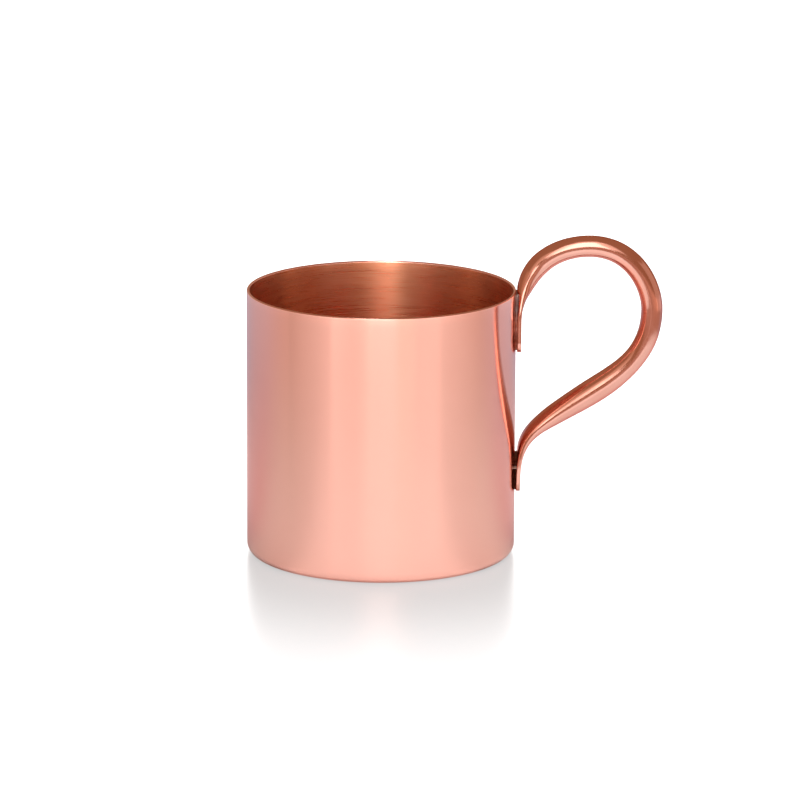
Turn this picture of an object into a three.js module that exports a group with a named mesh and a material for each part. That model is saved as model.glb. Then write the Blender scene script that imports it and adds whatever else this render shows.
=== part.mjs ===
// Copper mug: a spun copper cup with a bent copper rod for a handle, soldered on at two tongues.
// Millimetres, +Z up. The origin is the middle of the cup's flat underside, and the handle points along +X.
import * as THREE from "three";

// Cup: one sheet of copper
const CUP_RADIUS = 42.5;
const CUP_HEIGHT = 85;
const WALL = 1.0;
const BASE_CORNER = 3.0;
const CUP_SIDES = 96;
const CORNER_STEPS = 6;

// Handle: a round rod, thicker along its lower leg, with both ends forged flat
const ROD = 6.8;
const LEG = 8.1;
const TONGUE_THICKNESS = 1.35;
const TONGUE_WIDTH = 14;
const TONGUE_CORNER = 3.5;
const TONGUE_EDGE = 0.35;
const TONGUE_SQUARENESS = 9;
const HANDLE_SIDES = 28;
const HANDLE_STEPS = 60;
const END_STEPS = 8;

// Where the handle's centreline runs, in the plane Y = 0
const TONGUE_X = 43.475;
const UPPER_TONGUE = { low: 65.5, high: 74.5 };
const LOWER_TONGUE = { low: 20.4, high: 21.7 };
const LOOP_TOP = { x: 65.5, z: 98.9 };
const LOOP_RIGHT = { x: 85.4, z: 78.9 };
const LEG_MIDDLE = { x: 66.7, z: 52.0 };
const LEG_SLOPE = THREE.MathUtils.degToRad(32.7);

// How far the centreline keeps to its direction where it leaves one of those places and comes to the next
const RISE = { leaving: 21.4, coming: 7.2 };
const TURN = { leaving: 14.2, coming: 6.9 };
const FALL = { leaving: 13.0, coming: 13.3 };
const FOOT = { leaving: 24.4, coming: 17.4 };

// Solder between the wall and the tongues
const SOLDER_CLEARANCE = 0.07;
const SOLDER_MARGIN = 2.5;
const SOLDER_STEPS = 12;
const SOLDER_COLUMNS = 12;
const UPPER_SOLDER = { low: 66, high: 82, lowHalfWidth: 6.2, highHalfWidth: 4.4 };
const LOWER_SOLDER = { low: 20.5, high: 30, lowHalfWidth: 5.6, highHalfWidth: 4.6 };

const copper = new THREE.MeshStandardMaterial({ color: 0xe9a48e, roughness: 0.12, metalness: 1 });
const handleCopper = new THREE.MeshStandardMaterial({ color: 0xd98e75, roughness: 0.08, metalness: 1 });
const solder = new THREE.MeshStandardMaterial({ color: 0x77706c, roughness: 0.45, metalness: 1 });

// An arc from one angle to another as profile points, both ends included.
function arc(centreX, centreY, radius, from, to, steps) {
  const points = [];
  for (let i = 0; i <= steps; i += 1) {
    const angle = from + ((to - from) * i) / steps;
    points.push(new THREE.Vector2(centreX + radius * Math.cos(angle), centreY + radius * Math.sin(angle)));
  }
  return points;
}

// The cup's section: along the underside, up the wall, over the round lip, down inside and back to the axis.
function cupGeometry() {
  const quarter = Math.PI / 2;
  const cornerCentre = CUP_RADIUS - BASE_CORNER;
  const lip = WALL / 2;
  const profile = [
    new THREE.Vector2(0, 0),
    ...arc(cornerCentre, BASE_CORNER, BASE_CORNER, -quarter, 0, CORNER_STEPS),
    ...arc(CUP_RADIUS - lip, CUP_HEIGHT - lip, lip, 0, Math.PI, CORNER_STEPS),
    ...arc(cornerCentre, BASE_CORNER, BASE_CORNER - WALL, 0, -quarter, CORNER_STEPS),
    new THREE.Vector2(0, WALL),
  ];
  const geometry = new THREE.LatheGeometry(profile, CUP_SIDES);
  geometry.rotateX(quarter);
  return geometry;
}

// The handle's centreline, from the end of the upper tongue over the loop to the end of the lower one.
function handleCentreline() {
  const at = (x, z) => new THREE.Vector3(x, 0, z);
  const path = new THREE.CurvePath();
  const upperHigh = at(TONGUE_X, UPPER_TONGUE.high);
  const top = at(LOOP_TOP.x, LOOP_TOP.z);
  const right = at(LOOP_RIGHT.x, LOOP_RIGHT.z);
  const leg = at(LEG_MIDDLE.x, LEG_MIDDLE.z);
  const lowerHigh = at(TONGUE_X, LOWER_TONGUE.high);
  const [up, across, down] = [at(0, 1), at(1, 0), at(0, -1)];
  const downLeg = at(-Math.cos(LEG_SLOPE), -Math.sin(LEG_SLOPE));
  const bend = (from, fromWay, pull, to, toWay) => {
    const first = from.clone().addScaledVector(fromWay, pull.leaving);
    const second = to.clone().addScaledVector(toWay, -pull.coming);
    path.add(new THREE.CubicBezierCurve3(from, first, second, to));
  };
  path.add(new THREE.LineCurve3(at(TONGUE_X, UPPER_TONGUE.low), upperHigh));
  bend(upperHigh, up, RISE, top, across);
  bend(top, across, TURN, right, down);
  bend(right, down, FALL, leg, downLeg);
  bend(leg, downLeg, FOOT, lowerHigh, down);
  path.add(new THREE.LineCurve3(lowerHigh, at(TONGUE_X, LOWER_TONGUE.low)));
  path.arcLengthDivisions = 800;
  return path;
}

// The rod's section along its length: distance from the upper end, then thickness, width, and how square it is.
const SECTIONS = [
  { at: 0, shape: [TONGUE_THICKNESS, TONGUE_WIDTH, TONGUE_SQUARENESS] },
  { at: 11, shape: [TONGUE_THICKNESS, TONGUE_WIDTH, TONGUE_SQUARENESS] },
  { at: 13.5, shape: [1.6, 13.4, 4.5] },
  { at: 16.8, shape: [2.9, 11.4, 2.7] },
  { at: 20.2, shape: [4.9, 9.2, 2.2] },
  { at: 24.7, shape: [6.2, 7.8, 2] },
  { at: 30, shape: [ROD, ROD, 2] },
  { at: 60, shape: [ROD, ROD, 2] },
  { at: 92, shape: [ROD, ROD, 2] },
  { at: 110.5, shape: [LEG, LEG, 2] },
  { at: 125.5, shape: [6.6, 9.4, 2.1] },
  { at: 132.5, shape: [4.9, 10.8, 2.3] },
  { at: 140, shape: [3.0, 12.6, 2.9] },
  { at: 144, shape: [1.9, 13.6, 4.5] },
  { at: 148, shape: [1.4, TONGUE_WIDTH, TONGUE_SQUARENESS] },
  { at: 152, shape: [TONGUE_THICKNESS, TONGUE_WIDTH, TONGUE_SQUARENESS] },
  { at: 160, shape: [TONGUE_THICKNESS, TONGUE_WIDTH, TONGUE_SQUARENESS] },
];
const sectionCurve = new THREE.CubicInterpolant(
  SECTIONS.map((row) => row.at),
  SECTIONS.flatMap((row) => row.shape),
  SECTIONS[0].shape.length,
);

// How far a rounded end reaches at a distance from the very end, from full - radius up to full.
function roundedReach(full, radius, distance) {
  const short = Math.max(radius - distance, 0);
  return full - radius + Math.sqrt(radius * radius - short * short);
}

function sectionAt(distance, length) {
  const [thickness, width, squareness] = sectionCurve.evaluate(distance);
  const toEnd = Math.max(Math.min(distance, length - distance), 0);
  return {
    halfThickness: roundedReach(thickness / 2, TONGUE_EDGE, toEnd),
    halfWidth: roundedReach(width / 2, TONGUE_CORNER, toEnd),
    squareness,
  };
}

// Distances along the handle: even steps, with closer ones round the corners of either end.
function handleStations(length) {
  const end = [];
  for (let i = 0; i <= END_STEPS; i += 1) {
    end.push(TONGUE_CORNER * (1 - Math.cos((Math.PI * i) / (2 * END_STEPS))));
  }
  const inner = [];
  for (let i = 1; i < HANDLE_STEPS; i += 1) {
    inner.push(THREE.MathUtils.lerp(TONGUE_CORNER, length - TONGUE_CORNER, i / HANDLE_STEPS));
  }
  return [...end, ...inner, ...end.map((distance) => length - distance).reverse()];
}

// A closed skin over rings of points that have the same count, with a flat fan at either end.
function skin(rings) {
  const count = rings[0].length;
  const positions = rings.flat();
  const index = [];
  for (let r = 0; r + 1 < rings.length; r += 1) {
    for (let i = 0; i < count; i += 1) {
      const next = (i + 1) % count;
      const [a, b] = [r * count + i, r * count + next];
      index.push(a, b, b + count, a, b + count, a + count);
    }
  }
  const addFan = (ring, outward) => {
    const middle = new THREE.Vector3();
    rings[ring].forEach((point) => middle.addScaledVector(point, 1 / count));
    positions.push(middle);
    for (let i = 0; i < count; i += 1) {
      const [a, b] = [ring * count + i, ring * count + ((i + 1) % count)];
      index.push(positions.length - 1, outward ? a : b, outward ? b : a);
    }
  };
  addFan(0, false);
  addFan(rings.length - 1, true);
  const geometry = new THREE.BufferGeometry().setFromPoints(positions);
  geometry.setIndex(index);
  return geometry;
}

// One ring of the handle: a round or squared section, thickness in the plane of the loop, width across it.
function handleRing(path, distance, length) {
  const share = distance / length;
  const centre = path.getPointAt(share);
  const tangent = path.getTangentAt(share);
  const outward = new THREE.Vector3(tangent.z, 0, -tangent.x);
  const section = sectionAt(distance, length);
  const ring = [];
  for (let i = 0; i < HANDLE_SIDES; i += 1) {
    const angle = (2 * Math.PI * i) / HANDLE_SIDES;
    const bulge = (value) => Math.sign(value) * Math.abs(value) ** (2 / section.squareness);
    const point = centre.clone().addScaledVector(outward, section.halfThickness * bulge(Math.cos(angle)));
    point.y = section.halfWidth * bulge(Math.sin(angle));
    ring.push(point);
  }
  return ring;
}

function handleGeometry(path) {
  const length = path.getLength();
  const rings = handleStations(length).map((distance) => handleRing(path, distance, length));
  const geometry = skin(rings);
  geometry.computeVertexNormals();
  return geometry;
}

// The height and wall-side X of the rod at every station, which bound the solder behind it.
function wallSide(path) {
  const length = path.getLength();
  return handleStations(length).map((distance) => {
    const share = distance / length;
    const centre = path.getPointAt(share);
    const tangent = path.getTangentAt(share);
    const half = sectionAt(distance, length).halfThickness;
    return { x: centre.x - half * Math.abs(tangent.z), z: centre.z + half * tangent.x * Math.sign(tangent.z) };
  });
}

// A pad of solder that fills the gap between the round wall and the flat tongue.
function solderGeometry(pad, side) {
  const inner = CUP_RADIUS + SOLDER_CLEARANCE;
  const rings = [];
  for (let i = 0; i <= SOLDER_STEPS; i += 1) {
    const share = i / SOLDER_STEPS;
    const z = THREE.MathUtils.lerp(pad.low, pad.high, share);
    const half = THREE.MathUtils.lerp(pad.lowHalfWidth, pad.highHalfWidth, share);
    const near = side.filter((point) => Math.abs(point.z - z) < SOLDER_MARGIN);
    const outer = Math.min(...near.map((point) => point.x)) - SOLDER_CLEARANCE;
    const ring = [];
    for (let k = 0; k <= SOLDER_COLUMNS; k += 1) {
      const y = half * ((2 * k) / SOLDER_COLUMNS - 1);
      ring.push(new THREE.Vector3(outer, y, z));
    }
    for (let k = SOLDER_COLUMNS; k >= 0; k -= 1) {
      const y = half * ((2 * k) / SOLDER_COLUMNS - 1);
      ring.push(new THREE.Vector3(Math.sqrt(inner * inner - y * y), y, z));
    }
    rings.push(ring);
  }
  const geometry = skin(rings);
  geometry.computeVertexNormals();
  return geometry;
}

const group = new THREE.Group();

function addPart(name, geometry, material) {
  const mesh = new THREE.Mesh(geometry, material);
  mesh.name = name;
  group.add(mesh);
}

const centreline = handleCentreline();
const handleWallSide = wallSide(centreline);
addPart("cup", cupGeometry(), copper);
addPart("handle", handleGeometry(centreline), handleCopper);
addPart("upper_solder_joint", solderGeometry(UPPER_SOLDER, handleWallSide), solder);
addPart("lower_solder_joint", solderGeometry(LOWER_SOLDER, handleWallSide), solder);

export default group;
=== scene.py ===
import math

import bpy
import numpy as np
from mathutils import Matrix, Vector, noise


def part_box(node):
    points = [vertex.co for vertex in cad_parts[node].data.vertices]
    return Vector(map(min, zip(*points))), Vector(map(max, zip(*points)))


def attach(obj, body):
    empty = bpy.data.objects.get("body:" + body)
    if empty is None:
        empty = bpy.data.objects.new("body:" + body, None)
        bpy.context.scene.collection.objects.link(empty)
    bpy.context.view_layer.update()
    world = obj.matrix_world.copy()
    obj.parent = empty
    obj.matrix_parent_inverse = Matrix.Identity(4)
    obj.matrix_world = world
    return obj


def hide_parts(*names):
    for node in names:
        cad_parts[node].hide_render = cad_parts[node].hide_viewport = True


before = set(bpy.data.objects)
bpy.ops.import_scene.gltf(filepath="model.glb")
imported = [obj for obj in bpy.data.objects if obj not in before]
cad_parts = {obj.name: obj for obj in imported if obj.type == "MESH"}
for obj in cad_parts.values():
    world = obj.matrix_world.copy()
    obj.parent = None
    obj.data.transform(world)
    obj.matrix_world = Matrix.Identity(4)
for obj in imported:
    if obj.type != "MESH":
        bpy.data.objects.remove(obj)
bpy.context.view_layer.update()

# ---------------------------------------------------------------- sizes, in metres
MM = 0.001
CUP_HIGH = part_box("cup")[1]
HANDLE_LOW, HANDLE_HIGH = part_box("handle")
CUP_RADIUS = CUP_HIGH.x
CUP_HEIGHT = CUP_HIGH.z
WALL = 1.0 * MM
BASE_CORNER = 3.0 * MM

ROD = 6.8 * MM
LEG = 8.1 * MM
TONGUE_THICKNESS = 1.35 * MM
TONGUE_WIDTH = 14 * MM
TONGUE_CORNER = 3.5 * MM
TONGUE_EDGE = 0.35 * MM
TONGUE_SQUARE = 9
TONGUE_X = 43.475 * MM
TONGUE_ENDS = (65.5 * MM, HANDLE_LOW.z)
TONGUE_TOPS = (74.5 * MM, 21.7 * MM)
LOOP_TOP = Vector((65.5 * MM, 0, HANDLE_HIGH.z - ROD / 2))
LOOP_RIGHT = Vector((HANDLE_HIGH.x - ROD / 2, 0, 78.9 * MM))
LEG_MIDDLE = Vector((66.7 * MM, 0, 52.0 * MM))
LEG_SLOPE = math.radians(32.7)

# How far each bend of the rod holds its first direction, and its last one.
RISE = (21.4 * MM, 7.2 * MM)
TURN = (14.2 * MM, 6.9 * MM)
FALL = (13.0 * MM, 13.3 * MM)
FOOT = (24.4 * MM, 17.4 * MM)

# The rod's section: distance from its upper end, thickness, width, and how square it is.
SECTIONS = (
    (0, TONGUE_THICKNESS, TONGUE_WIDTH, TONGUE_SQUARE),
    (11 * MM, TONGUE_THICKNESS, TONGUE_WIDTH, TONGUE_SQUARE),
    (13.5 * MM, 1.6 * MM, 13.4 * MM, 4.5),
    (16.8 * MM, 2.9 * MM, 11.4 * MM, 2.7),
    (20.2 * MM, 4.9 * MM, 9.2 * MM, 2.2),
    (24.7 * MM, 6.2 * MM, 7.8 * MM, 2),
    (30 * MM, ROD, ROD, 2),
    (60 * MM, ROD, ROD, 2),
    (92 * MM, ROD, ROD, 2),
    (110.5 * MM, LEG, LEG, 2),
    (125.5 * MM, 6.6 * MM, 9.4 * MM, 2.1),
    (132.5 * MM, 4.9 * MM, 10.8 * MM, 2.3),
    (140 * MM, 3.0 * MM, 12.6 * MM, 2.9),
    (144 * MM, 1.9 * MM, 13.6 * MM, 4.5),
    (148 * MM, 1.4 * MM, TONGUE_WIDTH, TONGUE_SQUARE),
    (152 * MM, TONGUE_THICKNESS, TONGUE_WIDTH, TONGUE_SQUARE),
    (160 * MM, TONGUE_THICKNESS, TONGUE_WIDTH, TONGUE_SQUARE),
)


# ---------------------------------------------------------------- meshes
def new_mesh(name, points, faces, smooth=True):
    """A mesh object from points and faces, with smooth shading."""
    mesh = bpy.data.meshes.new(name)
    mesh.from_pydata([tuple(p) for p in points], [], faces)
    mesh.polygons.foreach_set("use_smooth", [smooth] * len(mesh.polygons))
    mesh.update()
    obj = bpy.data.objects.new(name, mesh)
    bpy.context.scene.collection.objects.link(obj)
    return obj


def skin(name, rings):
    """A closed skin over rings of points of equal count, with a flat face over either end."""
    count = len(rings[0])
    points = [p for ring in rings for p in ring]
    faces = []
    for r in range(len(rings) - 1):
        for i in range(count):
            a = r * count + i
            b = r * count + (i + 1) % count
            faces.append((a, b, b + count, a + count))
    faces.append(tuple(reversed(range(count))))
    faces.append(tuple(range(len(points) - count, len(points))))
    obj = new_mesh(name, points, faces)
    for end in (-2, -1):
        obj.data.polygons[end].use_smooth = False
    return obj


def arc(centre_r, centre_z, radius, start, end, steps):
    """Points (r, z) of an arc, both ends included."""
    angles = np.linspace(start, end, steps + 1)
    return [(centre_r + radius * math.cos(a), centre_z + radius * math.sin(a)) for a in angles]


def straight(start, end, steps):
    """Points (r, z) strictly between two ends."""
    return [tuple(np.array(start) + (np.array(end) - start) * k / steps) for k in range(1, steps)]


def lathe(name, profile, sides):
    """A closed body of revolution about Z. The profile starts and ends on the axis."""
    rings = profile[1:-1]
    points = [Vector((0, 0, profile[0][1]))]
    for r, z in rings:
        for k in range(sides):
            a = 2 * math.pi * k / sides
            points.append(Vector((r * math.cos(a), r * math.sin(a), z)))
    points.append(Vector((0, 0, profile[-1][1])))
    last = len(points) - 1
    faces = []
    for k in range(sides):
        n = (k + 1) % sides
        faces.append((0, 1 + n, 1 + k))
        faces.append((last, last - sides + k, last - sides + n))
    for r in range(len(rings) - 1):
        low, high = 1 + r * sides, 1 + (r + 1) * sides
        for k in range(sides):
            n = (k + 1) % sides
            faces.append((low + k, low + n, high + n, high + k))
    return new_mesh(name, points, faces)



# ---------------------------------------------------------------- the cup
CUP_SIDES = 288
CORNER_STEPS = 14
LIP_STEPS = 16
WALL_STEPS = 30
FLOOR_STEPS = 10
OUTSIDE, INSIDE, UNDERSIDE, LIP = range(4)


def make_cup():
    """The cup: one sheet of copper, polished outside and brushed inside, with a round lip and foot."""
    quarter = math.pi / 2
    lip = WALL / 2
    corner = CUP_RADIUS - BASE_CORNER
    inner = CUP_RADIUS - WALL
    lip_z = CUP_HEIGHT - lip
    under = [(0, 0)] + straight((0, 0), (corner, 0), FLOOR_STEPS)
    foot = arc(corner, BASE_CORNER, BASE_CORNER, -quarter, 0, CORNER_STEPS)
    outside = straight((CUP_RADIUS, BASE_CORNER), (CUP_RADIUS, lip_z), WALL_STEPS)
    rim = arc(CUP_RADIUS - lip, lip_z, lip, 0, math.pi, LIP_STEPS)
    inside = straight((inner, lip_z), (inner, BASE_CORNER), WALL_STEPS)
    well = arc(corner, BASE_CORNER, BASE_CORNER - WALL, 0, -quarter, CORNER_STEPS)
    bottom = straight((corner, WALL), (0, WALL), FLOOR_STEPS) + [(0, WALL)]
    profile = under + foot + outside + rim + inside + well + bottom
    cup = lathe("cup_shell", profile, CUP_SIDES)
    for material in (polished_copper(), brushed_copper(), underside_copper(), lip_copper()):
        cup.data.materials.append(material)
    for face in cup.data.polygons:
        c = face.center
        face.material_index = cup_finish(math.hypot(c.x, c.y), c.z)
    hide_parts("cup")
    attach(cup, "root")
    return cup


def cup_finish(r, z):
    """Which of the cup's finishes a face at radius r and height z has."""
    corner = CUP_RADIUS - BASE_CORNER
    if z > CUP_HEIGHT - WALL / 2:
        return LIP
    if z < WALL / 10 and r < corner:
        return UNDERSIDE
    if z < BASE_CORNER and r > corner:
        from_corner = math.hypot(r - corner, z - BASE_CORNER)
        return OUTSIDE if from_corner > BASE_CORNER - WALL / 2 else INSIDE
    return OUTSIDE if r > CUP_RADIUS - WALL / 2 else INSIDE


# ---------------------------------------------------------------- the handle
HANDLE_SIDES = 72
HANDLE_STEPS = 420
END_STEPS = 10
BEND_STEPS = 160
TANGENT_REACH = 0.4 * MM


def bend(start, leaving, holds, end, arriving):
    """Points on a cubic Bezier curve from start to end, the first one left out."""
    t = np.linspace(0, 1, BEND_STEPS + 1)[1:, None]
    corners = (start, start + leaving * holds[0], end - arriving * holds[1], end)
    a, b, c, d = (np.array(p, float) for p in corners)
    return (1 - t) ** 3 * a + 3 * (1 - t) ** 2 * t * b + 3 * (1 - t) * t**2 * c + t**3 * d


def handle_centreline():
    """The rod's centreline, from the end of the upper tongue over the loop to the end of the lower one."""
    up = Vector((0, 0, 1))
    right = Vector((1, 0, 0))
    down_leg = Vector((-math.cos(LEG_SLOPE), 0, -math.sin(LEG_SLOPE)))
    start = Vector((TONGUE_X, 0, TONGUE_ENDS[0]))
    first = Vector((TONGUE_X, 0, TONGUE_TOPS[0]))
    last = Vector((TONGUE_X, 0, TONGUE_TOPS[1]))
    end = Vector((TONGUE_X, 0, TONGUE_ENDS[1]))
    parts = [
        np.array([start, start.lerp(first, 0.5), first]),
        bend(first, up, RISE, LOOP_TOP, right),
        bend(LOOP_TOP, right, TURN, LOOP_RIGHT, -up),
        bend(LOOP_RIGHT, -up, FALL, LEG_MIDDLE, down_leg),
        bend(LEG_MIDDLE, down_leg, FOOT, last, -up),
        np.array([last.lerp(end, 0.5), end]),
    ]
    return np.concatenate(parts)


class Rod:
    """The bent rod: its centreline by distance, and its section there."""

    def __init__(self):
        self.line = handle_centreline()
        steps = np.linalg.norm(np.diff(self.line, axis=0), axis=1)
        self.at = np.concatenate([[0], np.cumsum(steps)])
        self.length = self.at[-1]

    def centre(self, distance):
        """The centreline's point at a distance from the upper end."""
        return np.array([np.interp(distance, self.at, self.line[:, k]) for k in range(3)])

    def tangent(self, distance):
        """The direction of the rod."""
        low = max(distance - TANGENT_REACH, 0)
        high = min(distance + TANGENT_REACH, self.length)
        step = self.centre(high) - self.centre(low)
        return step / np.linalg.norm(step)

    def outward(self, distance):
        """Across the rod in the plane of the loop, to the outside of the bend."""
        t = self.tangent(distance)
        return np.array([t[2], 0, -t[0]])

    def section(self, distance):
        """Half thickness, half width and squareness, with the tongues' ends rounded."""
        thickness, width, square = smooth_rows(SECTIONS, distance)
        to_end = max(min(distance, self.length - distance), 0)
        half_thickness = rounded(thickness / 2, TONGUE_EDGE, to_end)
        return half_thickness, rounded(width / 2, TONGUE_CORNER, to_end), square


def smooth_rows(rows, at):
    """The rows' values at a distance, on a smooth curve through every row."""
    last = next(i for i, row in enumerate(rows) if row[0] > at)
    i = max(last - 1, 0)
    span = rows[i + 1][0] - rows[i][0]
    t = (at - rows[i][0]) / span
    values = []
    for k in range(1, len(rows[0])):
        slopes = [row_slope(rows, j, k) * span for j in (i, i + 1)]
        a, b = rows[i][k], rows[i + 1][k]
        values.append(
            (2 * t**3 - 3 * t**2 + 1) * a
            + (t**3 - 2 * t**2 + t) * slopes[0]
            + (3 * t**2 - 2 * t**3) * b
            + (t**3 - t**2) * slopes[1]
        )
    return values


def row_slope(rows, i, k):
    """A slope at row i that never overshoots its neighbours."""
    if i == 0 or i == len(rows) - 1:
        return 0.0
    before = (rows[i][k] - rows[i - 1][k]) / (rows[i][0] - rows[i - 1][0])
    after = (rows[i + 1][k] - rows[i][k]) / (rows[i + 1][0] - rows[i][0])
    if before * after <= 0:
        return 0.0
    return 2 * before * after / (before + after)


def rounded(full, radius, distance):
    """How far a rounded end reaches at a distance from the very end."""
    short = max(radius - distance, 0)
    return full - radius + math.sqrt(radius**2 - short**2)


def superellipse(angle, square):
    """Unit point of a section that is round at 2 and squarer above."""
    c, s = math.cos(angle), math.sin(angle)
    return (
        math.copysign(abs(c) ** (2 / square), c),
        math.copysign(abs(s) ** (2 / square), s),
    )


def handle_ring(rod, distance):
    """The rod's outline at a distance from its upper end."""
    centre, outward = rod.centre(distance), rod.outward(distance)
    half_thickness, half_width, square = rod.section(distance)
    ring = []
    for k in range(HANDLE_SIDES):
        n, y = superellipse(2 * math.pi * k / HANDLE_SIDES, square)
        point = centre + outward * (half_thickness * n)
        ring.append((point[0], half_width * y, point[2]))
    return ring


def make_handle(rod):
    """The handle: a bent rod, round in the loop and forged flat at both ends."""
    turn = np.linspace(0, math.pi / 2, END_STEPS + 1)
    end = list(TONGUE_CORNER * (1 - np.cos(turn)))
    middle = list(np.linspace(TONGUE_CORNER, rod.length - TONGUE_CORNER, HANDLE_STEPS))[1:-1]
    stations = end + middle + [rod.length - d for d in reversed(end)]
    handle = skin("handle_rod", [handle_ring(rod, d) for d in stations])
    handle.data.materials.append(handle_copper())
    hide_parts("handle")
    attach(handle, "root")
    return handle


# ---------------------------------------------------------------- the solder
SOLDER_BITE = 0.04 * MM
SOLDER_ROWS = 90
SOLDER_COLUMNS = 24
SOLDER_OFFSETS = 14
TONGUE_STEPS = 240
MENISCUS_STEPS = 7
LUMPS_PER_METRE = 900
OTHER_LUMPS = Vector((7, 3, 1))

# The upper joint is drawn back below UPPER_STEP, full above it, and a little narrower again at the lip.
UPPER_SPAN = (66.2 * MM, 84.2 * MM)
UPPER_STEP = (70 * MM, 74 * MM)
UPPER_NARROW = 4.6 * MM
UPPER_FULL = 5.9 * MM
UPPER_AT_LIP = 4.2 * MM
UPPER_TAPER = 10 * MM

# The lower joint is drawn back, but for one bead.
LOWER_SPAN = (21 * MM, 31.5 * MM)
LOWER_NARROW = 4.4 * MM
BEAD_REACH = 2.1 * MM
BEAD_HEIGHT = 28.4 * MM
BEAD_SIZE = 0.55 * MM

# The stretch of rod at either end in which the solder's side against it is looked up.
SOLDERED_LENGTH = 30 * MM


def wall_side_x(rod, y, heights, low, high):
    """X of the rod's surface that faces the cup, at a distance y off the middle, for each height."""
    xs, zs = [], []
    for distance in np.linspace(low, high, TONGUE_STEPS):
        half_thickness, half_width, square = rod.section(distance)
        share = min(abs(y) / half_width, 1)
        reach = half_thickness * (1 - share**square) ** (1 / square)
        across = rod.outward(distance)
        point = rod.centre(distance) - math.copysign(reach, across[0]) * across
        xs.append(point[0])
        zs.append(point[2])
    order = np.argsort(zs)
    return np.interp(heights, np.array(zs)[order], np.array(xs)[order])


def solder_ring(half, offsets, tongue_xs, sag):
    """A level outline of solder: the tongue's side, a hollow side, the wall's side, the other hollow side."""
    ys = [share * half for share in np.linspace(-1, 1, SOLDER_COLUMNS + 1)]

    def tongue_x(y):
        return float(np.interp(abs(y), offsets, tongue_xs)) + SOLDER_BITE

    ring = [(tongue_x(y), y) for y in ys]
    ring += meniscus(tongue_x(half), wall_x(half), half, sag)
    ring += [(wall_x(y), y) for y in reversed(ys)]
    ring += meniscus(wall_x(half), tongue_x(half), -half, sag)
    return ring


def wall_x(y):
    """X just inside the cup's wall, at a distance y off the middle."""
    return math.sqrt((CUP_RADIUS - SOLDER_BITE) ** 2 - y**2)


def meniscus(start, end, half, sag):
    """The hollow side of the solder, from one X to another, pulled in by sag halfway."""
    points = []
    for k in range(1, MENISCUS_STEPS):
        t = k / MENISCUS_STEPS
        points.append((start + (end - start) * t, half - math.copysign(4 * t * (1 - t) * sag, half)))
    return points


def make_solder(name, node, rod, span, stretch, half_width, sag, lump):
    """Solder between the wall and a tongue: heights in span, a half width by height, and hollow sides."""
    heights = np.linspace(span[0], span[1], SOLDER_ROWS)
    widest = max(half_width(z) for z in heights)
    offsets = np.linspace(0, widest, SOLDER_OFFSETS)
    surface = np.array([wall_side_x(rod, y, heights, *stretch) for y in offsets])
    rings = []
    for z, tongue_xs in zip(heights, surface.T):
        ring = solder_ring(half_width(z), offsets, tongue_xs, sag)
        rings.append([Vector((x, y, z)) for x, y in ring])
    pad = skin(name, rings)
    for v in pad.data.vertices:
        v.co.y += lump * noise.noise(v.co * LUMPS_PER_METRE)
        v.co.z += lump * noise.noise(v.co * LUMPS_PER_METRE + OTHER_LUMPS)
    pad.data.materials.append(SOLDER)
    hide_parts(node)
    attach(pad, "root")
    return pad


def upper_half_width(z):
    """The upper solder is full below the lip and drawn back under the lower part of the tongue."""
    low, high = UPPER_STEP
    t = min(max((z - low) / (high - low), 0), 1)
    to_lip = min(max((z - high) / UPPER_TAPER, 0), 1)
    filled = UPPER_FULL + (UPPER_AT_LIP - UPPER_FULL) * to_lip
    return UPPER_NARROW + (filled - UPPER_NARROW) * t * t * (3 - 2 * t)


def lower_half_width(z):
    """The lower solder is drawn back, with one bead that has run out to the tongue's edge."""
    return LOWER_NARROW + BEAD_REACH * math.exp(-(((z - BEAD_HEIGHT) / BEAD_SIZE) ** 2))


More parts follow.
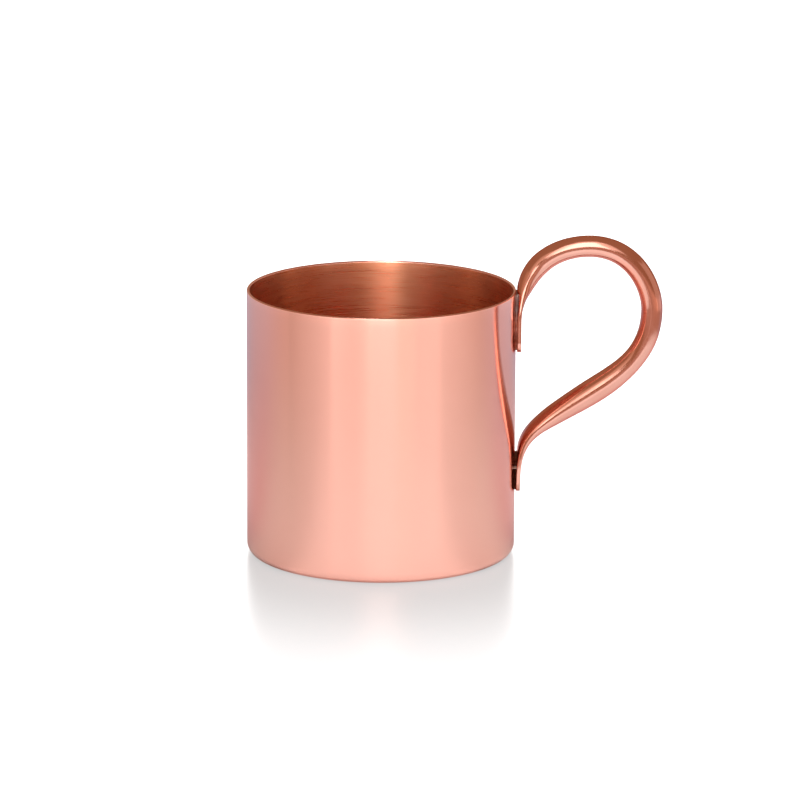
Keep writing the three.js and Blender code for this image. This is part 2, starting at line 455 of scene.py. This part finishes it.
# ---------------------------------------------------------------- node helpers
class Graph:
    """A short way to write the nodes of a material or a world."""

    def __init__(self, block):
        block.use_nodes = True
        block.node_tree.nodes.clear()
        self.block = block
        self.tree = block.node_tree

    def add(self, kind, **settings):
        """A new node, with some of its settings."""
        node = self.tree.nodes.new(kind)
        for key, value in settings.items():
            setattr(node, key, value)
        return node

    def feed(self, socket, value):
        """Links a socket to another, or sets it to a number, colour or vector."""
        if isinstance(value, bpy.types.NodeSocket):
            self.tree.links.new(value, socket)
        elif socket.type == "RGBA":
            socket.default_value = (*value, 1)
        else:
            socket.default_value = value

    def fill(self, node, **values):
        """Feeds a node's sockets by name."""
        for key, value in values.items():
            self.feed(node.inputs[key.replace("_", " ")], value)
        return node

    def coords(self, kind="Object"):
        """Places on the object, in metres, or another kind of coordinates."""
        return self.add("ShaderNodeTexCoord").outputs[kind]

    def split(self, vector):
        """X, Y and Z of a vector."""
        node = self.add("ShaderNodeSeparateXYZ")
        self.feed(node.inputs[0], vector)
        return node.outputs

    def noise(self, scale, detail=3.0, rough=0.5):
        """A noise value from 0 to 1 over object coordinates, stretched by a scale for each axis."""
        stretched = self.fill(self.add("ShaderNodeMapping"), Vector=self.coords(), Scale=scale)
        node = self.add("ShaderNodeTexNoise")
        self.fill(node, Vector=stretched.outputs["Vector"], Scale=1.0, Detail=detail, Roughness=rough)
        return node.outputs["Fac"]

    def rings(self, per_metre, detail=3.0):
        """A noise value from 0 to 1 in rings round the cup's axis."""
        node = self.add("ShaderNodeTexNoise", noise_dimensions="1D")
        self.fill(node, W=self.radius(), Scale=per_metre, Detail=detail)
        return node.outputs["Fac"]

    def ramp(self, value, low, high, out_low=0.0, out_high=1.0, smooth=False):
        """Maps a value's range onto another, and clamps it."""
        kind = "SMOOTHSTEP" if smooth else "LINEAR"
        node = self.add("ShaderNodeMapRange", interpolation_type=kind)
        self.fill(node, Value=value, From_Min=low, From_Max=high, To_Min=out_low, To_Max=out_high)
        return node.outputs["Result"]

    def math(self, operation, a, b=0.0):
        """Arithmetic on one or two numbers."""
        node = self.add("ShaderNodeMath", operation=operation)
        self.feed(node.inputs[0], a)
        self.feed(node.inputs[1], b)
        return node.outputs[0]

    def measure(self, operation, vector, other=(0, 0, 0)):
        """A vector's length, or its distance or product with another."""
        node = self.add("ShaderNodeVectorMath", operation=operation)
        self.feed(node.inputs[0], vector)
        self.feed(node.inputs[1], other)
        return node.outputs["Value"]

    def radius(self):
        """Distance from the cup's axis."""
        flat = self.add("ShaderNodeVectorMath", operation="MULTIPLY")
        self.feed(flat.inputs[0], self.coords())
        self.feed(flat.inputs[1], (1, 1, 0))
        return self.measure("LENGTH", flat.outputs["Vector"])

    def mix(self, factor, a, b):
        """A colour between two."""
        node = self.fill(self.add("ShaderNodeMix", data_type="RGBA"), Factor=factor)
        for socket, value in zip((s for s in node.inputs if s.type == "RGBA"), (a, b)):
            self.feed(socket, value)
        return next(s for s in node.outputs if s.type == "RGBA")

    def bump(self, height, distance):
        """Tilts the surface by a height value; distance is in metres."""
        return self.fill(self.add("ShaderNodeBump"), Height=height, Distance=distance).outputs["Normal"]

    def lathe_grain(self):
        """The direction round the cup's axis, for brushed metal."""
        return self.add("ShaderNodeTangent", direction_type="RADIAL", axis="Z").outputs[0]

    def shader(self, kind, **values):
        """A shader, with its sockets fed by name."""
        return self.fill(self.add("ShaderNode" + kind), **values).outputs[0]

    def sum(self, first, second):
        """Two shaders added up."""
        node = self.add("ShaderNodeAddShader")
        self.feed(node.inputs[0], first)
        self.feed(node.inputs[1], second)
        return node.outputs[0]

    def blend(self, factor, first, second):
        """A shader between two."""
        node = self.add("ShaderNodeMixShader")
        for socket, value in zip(node.inputs, (factor, first, second)):
            self.feed(socket, value)
        return node.outputs[0]

    def path(self, name):
        """What kind of ray is asking. Only the stage uses this."""
        return self.add("ShaderNodeLightPath").outputs[name]

    def finish(self, shader, output="ShaderNodeOutputMaterial"):
        """Puts a shader on the surface, and gives the finished material or world."""
        self.feed(self.add(output).inputs["Surface"], shader)
        return self.block

    def metal(self, **values):
        """The finished material of a bare metal."""
        return self.finish(self.shader("BsdfPrincipled", Metallic=1.0, **values))


def new_material(name):
    """The graph of a new material."""
    return Graph(bpy.data.materials.new(name))


# ---------------------------------------------------------------- copper and solder
COPPER = (0.91, 0.49, 0.405)
COPPER_DEEP = (0.84, 0.42, 0.31)
COPPER_PALE = (0.92, 0.51, 0.42)
INSIDE_PALE = (0.90, 0.42, 0.255)
INSIDE_DEEP = (0.84, 0.36, 0.195)
HANDLE_PALE = (0.90, 0.46, 0.37)
HANDLE_DEEP = (0.86, 0.42, 0.33)
# A painted shade on the loop: a browner colour that stands in for a darker reflection.
HANDLE_PAINTED_SHADE = (0.83, 0.39, 0.30)
HANDLE_TINT = (0.80, 0.62, 0.58)
# Where that painted shade lies: the centre of its patch, and the distances over which it fades out.
PAINTED_SHADE_CENTRE = (84 * MM, 0, 84 * MM)
PAINTED_SHADE_RADII = (12 * MM, 18 * MM)
GREY_SOLDER = ((0.26, 0.18, 0.17), (0.55, 0.48, 0.49))
# Partly flux stain, partly painted shade and painted reflection of the copper, for the recessed upper joint.
COPPERY_STAIN_AND_SHADE = ((0.42, 0.19, 0.13), (0.85, 0.50, 0.40))
# Partly scorched flux, partly painted shade of the recessed lower joint.
BURNT_STAIN_AND_SHADE = ((0.05, 0.012, 0.006), (0.22, 0.08, 0.05))
BEAD = (0.85, 0.76, 0.72)
GREY_HEIGHTS = (75 * MM, 79 * MM)
BETWEEN_JOINTS = (35 * MM, 60 * MM)


def polished_copper():
    """The cup's outside: buffed on a lathe, so that reflections are drawn out up and down."""
    g = new_material("polished_copper")
    blotch = g.noise((28, 28, 16), detail=2)
    rings = g.noise((30, 30, 5200), detail=2)
    return g.metal(
        Base_Color=g.mix(g.ramp(blotch, 0.35, 0.65), COPPER, COPPER_PALE),
        Roughness=g.ramp(g.math("ADD", rings, blotch), 0.7, 1.3, 0.225, 0.235),
        Normal=g.bump(g.noise((22, 22, 14), detail=1), 0.12 * MM),
        Anisotropic=1.0,
        Anisotropic_Rotation=0.25,
        Tangent=g.lathe_grain(),
    )


def brushed_copper():
    """The cup's inside: scratched round and round by abrasive, so its sheen stands up in a band."""
    g = new_material("brushed_copper")
    fine = g.noise((45, 45, 7000), detail=3, rough=0.6)
    coarse = g.noise((90, 90, 2300), detail=2)
    streak = g.math("ADD", g.math("MULTIPLY", fine, 0.6), g.math("MULTIPLY", coarse, 0.4))
    return g.metal(
        Base_Color=g.mix(g.ramp(streak, 0.35, 0.65), INSIDE_DEEP, INSIDE_PALE),
        Roughness=g.ramp(streak, 0.38, 0.62, 0.26, 0.34),
        Normal=g.bump(streak, 0.003 * MM),
        Anisotropic=0.85,
        Anisotropic_Rotation=0.25,
        Tangent=g.lathe_grain(),
    )


def underside_copper():
    """The flat underside: turned rings, duller from standing on tables."""
    g = new_material("underside_copper")
    scuffs = g.noise((120, 120, 120), detail=5, rough=0.65)
    wear = g.math("ADD", g.math("MULTIPLY", g.rings(2600), 0.5), g.math("MULTIPLY", scuffs, 0.5))
    return g.metal(
        Base_Color=g.mix(g.ramp(wear, 0.35, 0.65), COPPER_DEEP, COPPER),
        Roughness=g.ramp(wear, 0.3, 0.7, 0.2, 0.38),
        Normal=g.bump(wear, 0.01 * MM),
    )


def lip_copper():
    """The rounded lip, smoothed by hand."""
    g = new_material("lip_copper")
    wear = g.noise((400, 400, 400), detail=3)
    return g.metal(
        Base_Color=g.mix(g.ramp(wear, 0.3, 0.7), COPPER, COPPER_PALE),
        Roughness=g.ramp(wear, 0.3, 0.7, 0.16, 0.26),
    )


def handle_copper():
    """The rod: near mirror polish with fine buffing marks, and a painted shade round the loop's upper right:
    a browner patch that stands in for a darker reflection there.
    """
    g = new_material("handle_copper")
    blotch = g.noise((90, 90, 90), detail=3)
    buff = g.noise((700, 1800, 700), detail=3, rough=0.6)
    clean = g.mix(g.ramp(blotch, 0.35, 0.65), HANDLE_DEEP, HANDLE_PALE)
    # Painted shade: browner near the loop's upper right, a little less on the lighter blotches.
    painted_shade = g.ramp(g.measure("DISTANCE", g.coords(), PAINTED_SHADE_CENTRE), *PAINTED_SHADE_RADII, 1, 0)
    spared = g.ramp(blotch, 0.35, 0.65, 0, 0.25)
    return g.metal(
        Base_Color=g.mix(g.ramp(g.math("SUBTRACT", painted_shade, spared), 0, 1), clean, HANDLE_PAINTED_SHADE),
        Roughness=g.ramp(g.math("ADD", blotch, buff), 0.7, 1.3, 0.10, 0.17),
        Normal=g.bump(blotch, 0.06 * MM),
        Specular_Tint=HANDLE_TINT,
    )


def solder_metal():
    """Lumpy solder: grey below the lip; copper-brown along the upper tongue, partly flux stain and partly
    painted shade and painted reflection of the copper in the recess; very dark at the lower one, partly
    scorched flux and partly painted shade of the recessed gap, but for a pale bead.
    """
    g = new_material("solder_metal")
    lumps = g.noise((900, 900, 900), detail=4, rough=0.6)
    spread = g.ramp(lumps, 0.35, 0.65)
    # The copper-brown and very dark pairs are partly stain and partly painted shade of the recessed joints.
    grey, coppery_stain_and_shade, burnt_stain_and_shade = (g.mix(spread, *pair) for pair in (GREY_SOLDER, COPPERY_STAIN_AND_SHADE, BURNT_STAIN_AND_SHADE))
    height = g.split(g.coords())["Z"]
    from_bead = g.math("ABSOLUTE", g.math("SUBTRACT", height, BEAD_HEIGHT))
    upper = g.mix(g.ramp(height, *GREY_HEIGHTS), coppery_stain_and_shade, grey)
    lower = g.mix(g.ramp(from_bead, 0.6 * BEAD_SIZE, BEAD_SIZE), BEAD, burnt_stain_and_shade)
    return g.metal(
        Base_Color=g.mix(g.ramp(height, *BETWEEN_JOINTS), lower, upper),
        Roughness=g.ramp(lumps, 0.3, 0.7, 0.35, 0.6),
        Normal=g.bump(lumps, 0.15 * MM),
    )


SOLDER = solder_metal()


# ---------------------------------------------------------------- the camera: a long lens, looking along +Y
CAMERA_PLACE = Vector((6.0 * MM, -1640.3 * MM, 449.1 * MM))
CAMERA_PITCH = math.radians(13.71)
CAMERA_ROLL = math.radians(0.24)
CAMERA_LENS = 239.9
CAMERA_CLIP = (0.05, 50)
SENSOR = 36.0


def make_camera():
    """The camera stands a little above the mug and looks down at it."""
    data = bpy.data.cameras.new("camera")
    data.lens = CAMERA_LENS
    data.sensor_width = SENSOR
    data.clip_start, data.clip_end = CAMERA_CLIP
    camera = bpy.data.objects.new("camera", data)
    bpy.context.scene.collection.objects.link(camera)
    tilt = Matrix.Rotation(math.pi / 2 - CAMERA_PITCH, 4, "X")
    roll = Matrix.Rotation(CAMERA_ROLL, 4, "Z")
    camera.matrix_world = Matrix.Translation(CAMERA_PLACE) @ tilt @ roll
    bpy.context.scene.camera = camera


# ---------------------------------------------------------------- the cards: soft light for the metal to show
EYE_HEIGHT = 60 * MM
FIRST_BOUNCE = 1.5
CARD_STEPS = 24
CARD_DISTANCE = 0.38
HANDLE_MIDDLE = 68 * MM
TONGUE_CARD_DISTANCE = 0.28
INNER_LIGHT = (9.0, 9.0)
INNER_DISTANCE = 0.04
BACKDROP = (4.5, 4.5)
BACKDROP_DISTANCE = 1.3
WALL_ELEVATIONS = (-8, 20)
WHITE = (1, 1, 1)
PALE = (1, 0.95, 0.91)
PEACH = (1, 0.88, 0.78)
ORANGE = (1, 0.66, 0.45)

# Each card: name, azimuths of its two ends, elevations of its lower edge there and of its upper edge,
# colour, and strengths at the two ends. Azimuth 0 faces the camera and 90 is the handle's side.
CUP_CARDS = (
    ("cup_light", (-8, 13), (-4, -4), 59, WHITE, (2.0, 2.0)),
    ("cup_corner", (-21, -8), (16, 1), 58, PALE, (1.2, 2.0)),
    ("cup_left", (-27, -21), (20, 16), 57, PEACH, (1.0, 1.2)),
    ("cup_fringe", (-50, -27), (20, 15), 55, PEACH, (0.1, 0.65)),
    ("cup_right", (13, 28), (1, 1), 50, ORANGE, (0.75, 0.4)),
)
# The wall's own cards are all white and share one height, so each has only a name, azimuths and strengths.
WALL_CARDS = (
    ("wall_left_behind", (-180, -125), (0, 0.3)),
    ("wall_left_far", (-125, -80), (0.3, 0.5)),
    ("wall_left", (-80, -40), (0.35, 1.1)),
    ("wall_left_near", (-40, -8), (1.5, 0.8)),
    ("wall_right_near", (13, 49), (1.15, 1.3)),
    ("wall_right", (49, 90), (1.1, 0.45)),
    ("wall_right_far", (90, 130), (0.45, 0.45)),
    ("wall_right_behind", (130, 180), (0.45, 0)),
)
HANDLE_CARDS = (
    ("handle_light", (-10, 10), (8, 13), 53, WHITE, (2.2, 2.2)),
    ("handle_corner", (-24, -10), (23, 11), 51, PALE, (1.0, 1.9)),
    ("handle_left", (-52, -24), (17, 17), 40, PEACH, (0.15, 0.45)),
    ("handle_fringe", (-85, -52), (13, 15), 30, ORANGE, (0.1, 0.2)),
    ("handle_right", (10, 28), (18, 26), 56, PALE, (0.9, 0.5)),
    ("handle_side", (58, 118), (-10, -8), 32, WHITE, (0.2, 0.26)),
    ("echo_light", (10, 52), (-6, -6), 48, WHITE, (2.4, 1.6)),
    ("handle_top", (-18, 20), (51, 51), 66, PEACH, (0.45, 0.45)),
    ("handle_horizon", (12, 65), (-22, -22), 1, ORANGE, (0.1, 0.35)),
)
TONGUE_CARD = ("tongue_light", (-3, 3), (-12, -12), -9, WHITE, (0.6, 0.6))
INNER_CARD = ("inner_light", (-20, -3), (48, 48), 75, WHITE, INNER_LIGHT)
BACKDROP_CARD = ("backdrop", (105, 255), (-4, -4), 24, WHITE, BACKDROP)


def between(ends, share):
    """A value on the way from one end to the other."""
    return ends[0] + (ends[1] - ends[0]) * share


def make_card(card, receivers, centre_x=0.0, distance=CARD_DISTANCE):
    """A glowing card bent round the mug, which shines on its receivers only.

    It shows in reflections, and neither to the camera nor as light on the table.
    """
    name, azimuths, lower, upper, colour, strengths = card
    points = []
    glows = []
    for share in np.linspace(0, 1, CARD_STEPS + 1):
        azimuth = math.radians(between(azimuths, share))
        for elevation in (between(lower, share), upper):
            x = centre_x + distance * math.sin(azimuth)
            z = EYE_HEIGHT + distance * math.tan(math.radians(elevation))
            points.append((x, -distance * math.cos(azimuth), z))
            glows.append(between(strengths, share))
    faces = [(2 * k, 2 * k + 2, 2 * k + 3, 2 * k + 1) for k in range(CARD_STEPS)]
    obj = new_mesh(name, points, faces, smooth=False)
    obj.data.attributes.new("glow", "FLOAT", "POINT").data.foreach_set("value", glows)
    obj.data.materials.append(card_material(name, colour))
    obj.visible_camera = False
    obj.visible_diffuse = False
    obj.visible_shadow = False
    obj.visible_transmission = False
    group = bpy.data.collections.new(name + "_receivers")
    for receiver in receivers:
        group.objects.link(receiver)
    obj.light_linking.receiver_collection = group


def card_material(name, colour):
    """Glows by the mesh's glow attribute.

    A wall card shows only in a first reflection, and an echo card only in a reflection of a reflection.
    """
    g = new_material(name)
    strength = g.add("ShaderNodeAttribute", attribute_name="glow").outputs["Fac"]
    limits = {"wall": "LESS_THAN", "echo": "GREATER_THAN"}
    kind = name.split("_")[0]
    if kind in limits:
        shown = g.math(limits[kind], g.path("Ray Depth"), FIRST_BOUNCE)
        strength = g.math("MULTIPLY", strength, shown)
    glow = g.shader("Emission", Color=colour, Strength=strength)
    return g.finish(g.sum(glow, g.shader("BsdfTransparent")))


def make_cards(floor, cup, handle, joints):
    """Every card on the stage, each for the cup, the handle or the floor."""
    for card in CUP_CARDS:
        make_card(card, (cup, *joints))
    low, high = WALL_ELEVATIONS
    for name, azimuths, strengths in WALL_CARDS:
        make_card((name, azimuths, (low, low), high, WHITE, strengths), (cup,))
    for card in HANDLE_CARDS:
        make_card(card, (handle,), HANDLE_MIDDLE)
    make_card(TONGUE_CARD, (handle,), TONGUE_X, TONGUE_CARD_DISTANCE)
    make_card(INNER_CARD, (cup,), distance=INNER_DISTANCE)
    make_card(BACKDROP_CARD, (floor,), distance=BACKDROP_DISTANCE)


# ---------------------------------------------------------------- the table and the room
FLOOR_REACH = 6.0
TABLE_EDGE = 0.21
TABLE_FADE = 0.05
TABLE_FRONT = 0.18
TABLE_SIDE = (38, 56)
TABLE_WHITE = (0.85, 0.85, 0.85)
TABLE_BEHIND = (0.84, 0.63, 0.65)
TABLE_SEEN = (0.1, 0.1, 0.1)
SHADE_RADII = (0.04, 0.15)
SHADE_GLOW = (0.57, 0.92)
LIGHT_PLACE = (0.08, -0.14, 0.5)
LIGHT_SIZE = 0.4
LIGHT_POWER = 2.25
ROOM_SIDE = (80, 115)
ROOM_FRONT = (0.50, 0.31, 0.24)
ROOM_BEHIND = (0.50, 0.45, 0.54)
ROOM_ECHO = (0.36, 0.20, 0.12)
ROOM_LIGHT = (0.4, 0.4, 0.4)
ROOM_TURN = (-0.1, 0.6)
DIM_DIRECTION = (0.60, -0.12, 0.79)
DIM_SPREAD = (0.78, 0.97)
DIMMED = 0.6


def make_floor():
    """A white table with a darker room beyond. The camera sees both as one white sweep, with a painted shadow
    near the mug.
    """
    corners = [(x * FLOOR_REACH, y * FLOOR_REACH, 0) for x, y in ((-1, -1), (1, -1), (1, 1), (-1, 1))]
    floor = new_mesh("floor", corners, [(0, 1, 2, 3)])
    floor.data.materials.append(floor_material())
    return floor


def floor_material():
    """White to the camera, with a painted shadow: it glows dimmer near the mug. In reflections, a table that
    glows brighter in front, a painted pool of light, and the room's floor.
    """
    g = new_material("table")
    radius = g.radius()
    x, y, _ = g.split(g.coords())
    aside = g.math("ABSOLUTE", g.math("ARCTAN2", x, g.math("MULTIPLY", y, -1.0)))
    in_front = g.ramp(aside, *map(math.radians, TABLE_SIDE), TABLE_FRONT, 0, smooth=True)
    behind = g.ramp(aside, *map(math.radians, ROOM_SIDE), smooth=True)
    matt = g.shader("BsdfDiffuse", Color=g.mix(behind, TABLE_WHITE, TABLE_BEHIND))
    # The table's front glows: a painted pool of light, which the camera doesn't see.
    table = g.sum(matt, g.shader("Emission", Strength=in_front))
    room = g.shader("Emission", Color=g.mix(behind, ROOM_FRONT, ROOM_BEHIND))
    edge = g.ramp(radius, TABLE_EDGE, TABLE_EDGE + TABLE_FADE, smooth=True)
    # To the camera the floor glows dimmer near the mug: a painted shadow round its foot.
    seen = g.shader(
        "BsdfPrincipled",
        Base_Color=TABLE_SEEN,
        Roughness=0.3,
        Specular_IOR_Level=0.15,
        Emission_Color=WHITE,
        Emission_Strength=g.ramp(radius, *SHADE_RADII, *SHADE_GLOW, smooth=True),
    )
    return g.finish(g.blend(g.path("Is Camera Ray"), g.blend(edge, table, room), seen))


def make_table_light():
    """A soft box over the table, which lights it and doesn't show in the metal."""
    data = bpy.data.lights.new("table_light", "AREA")
    data.shape = "SQUARE"
    data.size = LIGHT_SIZE
    data.energy = LIGHT_POWER
    light = bpy.data.objects.new("table_light", data)
    light.location = LIGHT_PLACE
    light.visible_camera = False
    light.visible_glossy = False
    bpy.context.scene.collection.objects.link(light)


def make_world():
    """The room: warm in front, cool behind, dimmer high on the handle's side, and white to the camera.

    A reflection of a reflection shows it dim and warm all over.
    """
    g = Graph(bpy.data.worlds.new("room"))
    direction = g.coords("Generated")
    behind = g.ramp(g.split(direction)["Y"], *ROOM_TURN)
    dim = g.ramp(g.measure("DOT_PRODUCT", direction, DIM_DIRECTION), *DIM_SPREAD, 1, DIMMED, smooth=True)
    once = g.shader("Background", Color=g.mix(behind, ROOM_FRONT, ROOM_BEHIND), Strength=dim)
    twice = g.shader("Background", Color=ROOM_ECHO)
    reflected = g.blend(g.math("GREATER_THAN", g.path("Ray Depth"), FIRST_BOUNCE), once, twice)
    unseen = g.blend(g.path("Is Glossy Ray"), g.shader("Background", Color=ROOM_LIGHT), reflected)
    room = g.blend(g.path("Is Camera Ray"), unseen, g.shader("Background", Color=WHITE))
    bpy.context.scene.world = g.finish(room, "ShaderNodeOutputWorld")


# ---------------------------------------------------------------- the scene
bpy.context.scene.view_settings.view_transform = "Standard"
rod = Rod()
cup = make_cup()
handle = make_handle(rod)
upper_joint = make_solder(
    "upper_solder_fillet",
    "upper_solder_joint",
    rod,
    span=UPPER_SPAN,
    stretch=(0, SOLDERED_LENGTH),
    half_width=upper_half_width,
    sag=0.5 * MM,
    lump=0.25 * MM,
)
lower_joint = make_solder(
    "lower_solder_fillet",
    "lower_solder_joint",
    rod,
    span=LOWER_SPAN,
    stretch=(rod.length - SOLDERED_LENGTH, rod.length),
    half_width=lower_half_width,
    sag=0.4 * MM,
    lump=0.2 * MM,
)
make_camera()
make_world()
make_table_light()
make_cards(make_floor(), cup, handle, (upper_joint, lower_joint))
